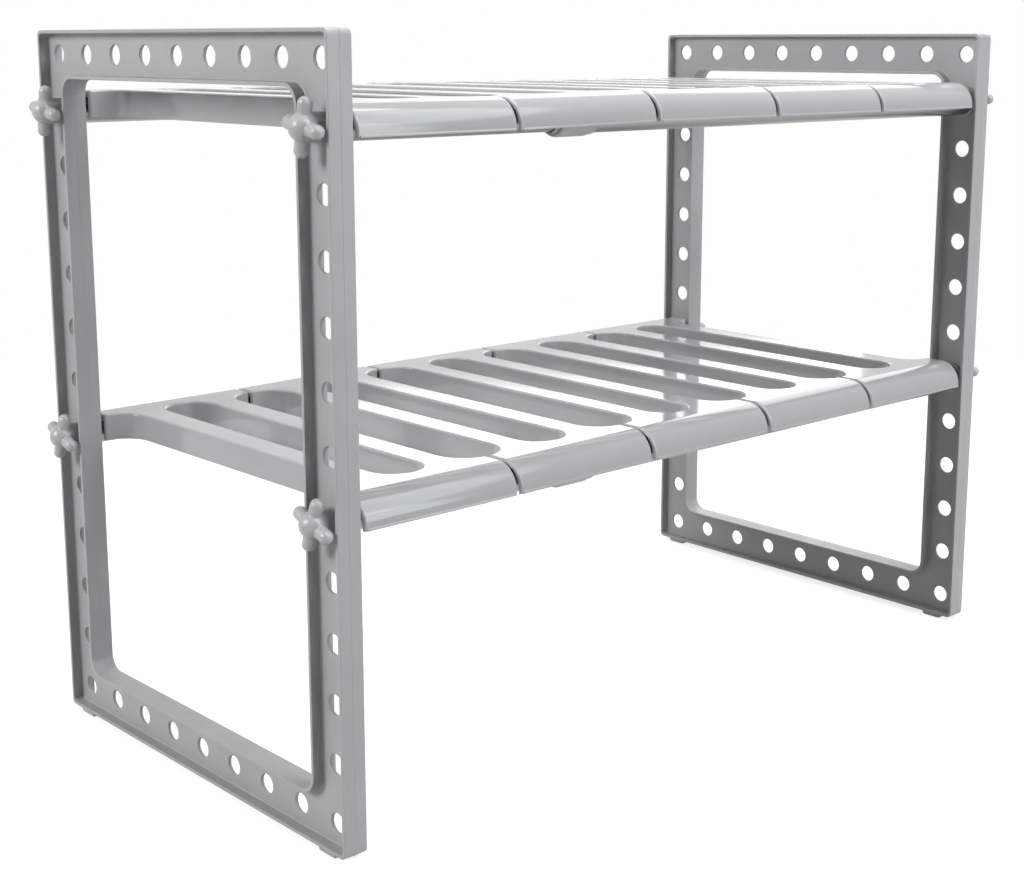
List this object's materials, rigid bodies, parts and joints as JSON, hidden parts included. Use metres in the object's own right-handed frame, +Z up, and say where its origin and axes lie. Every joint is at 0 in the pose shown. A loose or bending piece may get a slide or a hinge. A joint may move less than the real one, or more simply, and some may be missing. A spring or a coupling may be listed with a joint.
{
  "type": "expandable countertop shelf",
  "caption": "Two-tier countertop shelf with perforated end frames, telescopic rails and slatted panels; it widens along its length and cross knobs hold it.",
  "frame": {"origin": "on the floor, under the middle of the closed shelf", "axes": "+X along the rails to the right end frame, which is the way the shelf widens; +Y to the back; +Z up"},
  "size_m": [0.5206, 0.2588, 0.3755],
  "materials": {
    "frame_plastic": "satin moulded grey plastic",
    "panel_plastic": "glossy moulded pale grey plastic",
    "knob_plastic": "semi-gloss moulded grey plastic",
    "plug_plastic": "satin moulded grey plastic",
    "rail_steel": "satin drawn tube"
  },
  "bodies": {
    "left_end": {"left_frame": "frame_plastic", "inner_rail_lower_front": "rail_steel", "inner_rail_lower_back": "rail_steel", "inner_rail_upper_front": "rail_steel", "inner_rail_upper_back": "rail_steel", "left_plug_lower_front": "plug_plastic", "left_plug_lower_back": "plug_plastic", "left_plug_upper_front": "plug_plastic", "left_plug_upper_back": "plug_plastic"},
    "right_end": {"right_frame": "frame_plastic", "outer_rail_lower_front": "rail_steel", "outer_rail_lower_back": "rail_steel", "outer_rail_upper_front": "rail_steel", "outer_rail_upper_back": "rail_steel", "rail_collar_lower_front": "plug_plastic", "rail_collar_lower_back": "plug_plastic", "rail_collar_upper_front": "plug_plastic", "rail_collar_upper_back": "plug_plastic", "right_plug_lower_front": "plug_plastic", "right_plug_lower_back": "plug_plastic", "right_plug_upper_front": "plug_plastic", "right_plug_upper_back": "plug_plastic"},
    "lower_panel_1": {"lower_panel_1": "panel_plastic"},
    "lower_panel_2": {"lower_panel_2": "panel_plastic"},
    "lower_panel_3": {"lower_panel_3": "panel_plastic"},
    "lower_panel_4": {"lower_panel_4": "panel_plastic"},
    "lower_panel_5": {"lower_panel_5": "panel_plastic"},
    "upper_panel_1": {"upper_panel_1": "panel_plastic"},
    "upper_panel_2": {"upper_panel_2": "panel_plastic"},
    "upper_panel_3": {"upper_panel_3": "panel_plastic"},
    "upper_panel_4": {"upper_panel_4": "panel_plastic"},
    "upper_panel_5": {"upper_panel_5": "panel_plastic"},
    "left_knob_lower_front": {"left_knob_lower_front": "knob_plastic"},
    "left_knob_lower_back": {"left_knob_lower_back": "knob_plastic"},
    "left_knob_upper_front": {"left_knob_upper_front": "knob_plastic"},
    "left_knob_upper_back": {"left_knob_upper_back": "knob_plastic"},
    "right_knob_lower_front": {"right_knob_lower_front": "knob_plastic"},
    "right_knob_lower_back": {"right_knob_lower_back": "knob_plastic"},
    "right_knob_upper_front": {"right_knob_upper_front": "knob_plastic"},
    "right_knob_upper_back": {"right_knob_upper_back": "knob_plastic"}
  },
  "joints": [
    {"name": "expand", "type": "slide", "parent": "left_end", "child": "right_end", "axis": [1, 0, 0], "range_m": [0, 0.2]},
    {"name": "lower_panel_1_slide", "type": "slide", "parent": "left_end", "child": "lower_panel_1", "axis": [1, 0, 0], "range_m": [0, 0.02]},
    {"name": "lower_panel_2_slide", "type": "slide", "parent": "left_end", "child": "lower_panel_2", "axis": [1, 0, 0], "range_m": [0, 0.06]},
    {"name": "lower_panel_3_slide", "type": "slide", "parent": "left_end", "child": "lower_panel_3", "axis": [1, 0, 0], "range_m": [0, 0.1]},
    {"name": "lower_panel_4_slide", "type": "slide", "parent": "left_end", "child": "lower_panel_4", "axis": [1, 0, 0], "range_m": [0, 0.14]},
    {"name": "lower_panel_5_slide", "type": "slide", "parent": "left_end", "child": "lower_panel_5", "axis": [1, 0, 0], "range_m": [0, 0.18]},
    {"name": "upper_panel_1_slide", "type": "slide", "parent": "left_end", "child": "upper_panel_1", "axis": [1, 0, 0], "range_m": [0, 0.02]},
    {"name": "upper_panel_2_slide", "type": "slide", "parent": "left_end", "child": "upper_panel_2", "axis": [1, 0, 0], "range_m": [0, 0.06]},
    {"name": "upper_panel_3_slide", "type": "slide", "parent": "left_end", "child": "upper_panel_3", "axis": [1, 0, 0], "range_m": [0, 0.1]},
    {"name": "upper_panel_4_slide", "type": "slide", "parent": "left_end", "child": "upper_panel_4", "axis": [1, 0, 0], "range_m": [0, 0.14]},
    {"name": "upper_panel_5_slide", "type": "slide", "parent": "left_end", "child": "upper_panel_5", "axis": [1, 0, 0], "range_m": [0, 0.18]},
    {"name": "left_knob_lower_front_turn", "type": "hinge", "parent": "left_end", "child": "left_knob_lower_front", "pos_m": [-0.2431, -0.116, 0.16], "axis": [-1, 0, 0], "continuous": true},
    {"name": "left_knob_lower_back_turn", "type": "hinge", "parent": "left_end", "child": "left_knob_lower_back", "pos_m": [-0.2431, 0.116, 0.16], "axis": [-1, 0, 0], "continuous": true},
    {"name": "left_knob_upper_front_turn", "type": "hinge", "parent": "left_end", "child": "left_knob_upper_front", "pos_m": [-0.2431, -0.116, 0.334], "axis": [-1, 0, 0], "continuous": true},
    {"name": "left_knob_upper_back_turn", "type": "hinge", "parent": "left_end", "child": "left_knob_upper_back", "pos_m": [-0.2431, 0.116, 0.334], "axis": [-1, 0, 0], "continuous": true},
    {"name": "right_knob_lower_front_turn", "type": "hinge", "parent": "right_end", "child": "right_knob_lower_front", "pos_m": [0.2431, -0.116, 0.16], "axis": [1, 0, 0], "continuous": true},
    {"name": "right_knob_lower_back_turn", "type": "hinge", "parent": "right_end", "child": "right_knob_lower_back", "pos_m": [0.2431, 0.116, 0.16], "axis": [1, 0, 0], "continuous": true},
    {"name": "right_knob_upper_front_turn", "type": "hinge", "parent": "right_end", "child": "right_knob_upper_front", "pos_m": [0.2431, -0.116, 0.334], "axis": [1, 0, 0], "continuous": true},
    {"name": "right_knob_upper_back_turn", "type": "hinge", "parent": "right_end", "child": "right_knob_upper_back", "pos_m": [0.2431, 0.116, 0.334], "axis": [1, 0, 0], "continuous": true}
  ],
  "couplings": [
    {"joint": "lower_panel_1_slide", "follows": "expand", "ratio": 0.1},
    {"joint": "lower_panel_2_slide", "follows": "expand", "ratio": 0.3},
    {"joint": "lower_panel_3_slide", "follows": "expand", "ratio": 0.5},
    {"joint": "lower_panel_4_slide", "follows": "expand", "ratio": 0.7},
    {"joint": "lower_panel_5_slide", "follows": "expand", "ratio": 0.9},
    {"joint": "upper_panel_1_slide", "follows": "expand", "ratio": 0.1},
    {"joint": "upper_panel_2_slide", "follows": "expand", "ratio": 0.3},
    {"joint": "upper_panel_3_slide", "follows": "expand", "ratio": 0.5},
    {"joint": "upper_panel_4_slide", "follows": "expand", "ratio": 0.7},
    {"joint": "upper_panel_5_slide", "follows": "expand", "ratio": 0.9}
  ]
}
